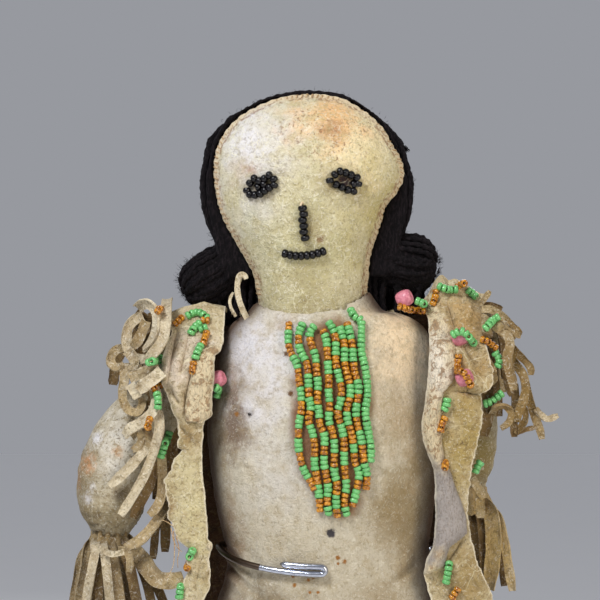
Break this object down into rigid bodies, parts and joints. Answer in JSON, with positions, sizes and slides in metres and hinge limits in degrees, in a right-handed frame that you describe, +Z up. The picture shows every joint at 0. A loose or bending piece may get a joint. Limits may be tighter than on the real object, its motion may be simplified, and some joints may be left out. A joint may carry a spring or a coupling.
{
  "type": "beaded doll",
  "caption": "Stuffed hide doll with yarn hair, beaded face and chest, in an open fringed hide coat, held up by a steel stand with a round foot.",
  "frame": {"origin": "centre of the underside of the stand's round foot", "axes": "+Z up, -Y the way the doll faces, +X the doll's left"},
  "size_m": [0.1295, 0.1, 0.2834],
  "materials": {
    "steel": "polished",
    "doll_hide": "matt, smoked and stained",
    "coat_hide": "matt, worn",
    "yarn": "matt wool",
    "black_beads": "glossy",
    "green_beads": "opaque, glossy",
    "amber_beads": "translucent, glossy",
    "pink_beads": "opaque, soft gloss"
  },
  "bodies": {
    "root": {"arm_left": "doll_hide", "arm_right": "doll_hide", "body": "doll_hide", "chest_strand_1": "amber_beads", "chest_strand_2": "amber_beads", "chest_strand_3": "amber_beads", "chest_strand_4": "amber_beads", "chest_strand_5": "amber_beads", "chest_strand_6": "amber_beads", "chest_strand_7": "amber_beads", "chest_strand_8": "green_beads", "coat": "coat_hide", "coat_beads_left_1": "green_beads", "coat_beads_left_2": "amber_beads", "coat_beads_left_3": "green_beads", "coat_beads_left_4": "green_beads", "coat_beads_left_5": "amber_beads", "coat_beads_left_6": "green_beads", "coat_beads_right_1": "green_beads", "coat_beads_right_2": "green_beads", "coat_beads_right_3": "amber_beads", "coat_beads_right_4": "green_beads", "collar_thong": "coat_hide", "cuff_fringe_left": "coat_hide", "cuff_fringe_right": "coat_hide", "eye_beads_left": "black_beads", "eye_beads_right": "black_beads", "hair": "yarn", "head": "doll_hide", "moccasin_left": "doll_hide", "moccasin_right": "doll_hide", "mount_cradle": "steel", "mount_foot": "steel", "mount_post": "steel", "mouth_beads": "black_beads", "nose_beads": "black_beads", "pink_bead_1": "pink_beads", "pink_bead_2": "pink_beads", "pink_bead_3": "pink_beads", "pink_bead_4": "pink_beads", "shoulder_fringe_left": "coat_hide", "shoulder_fringe_right": "coat_hide", "side_tie_right": "coat_hide"}
  },
  "joints": []
}
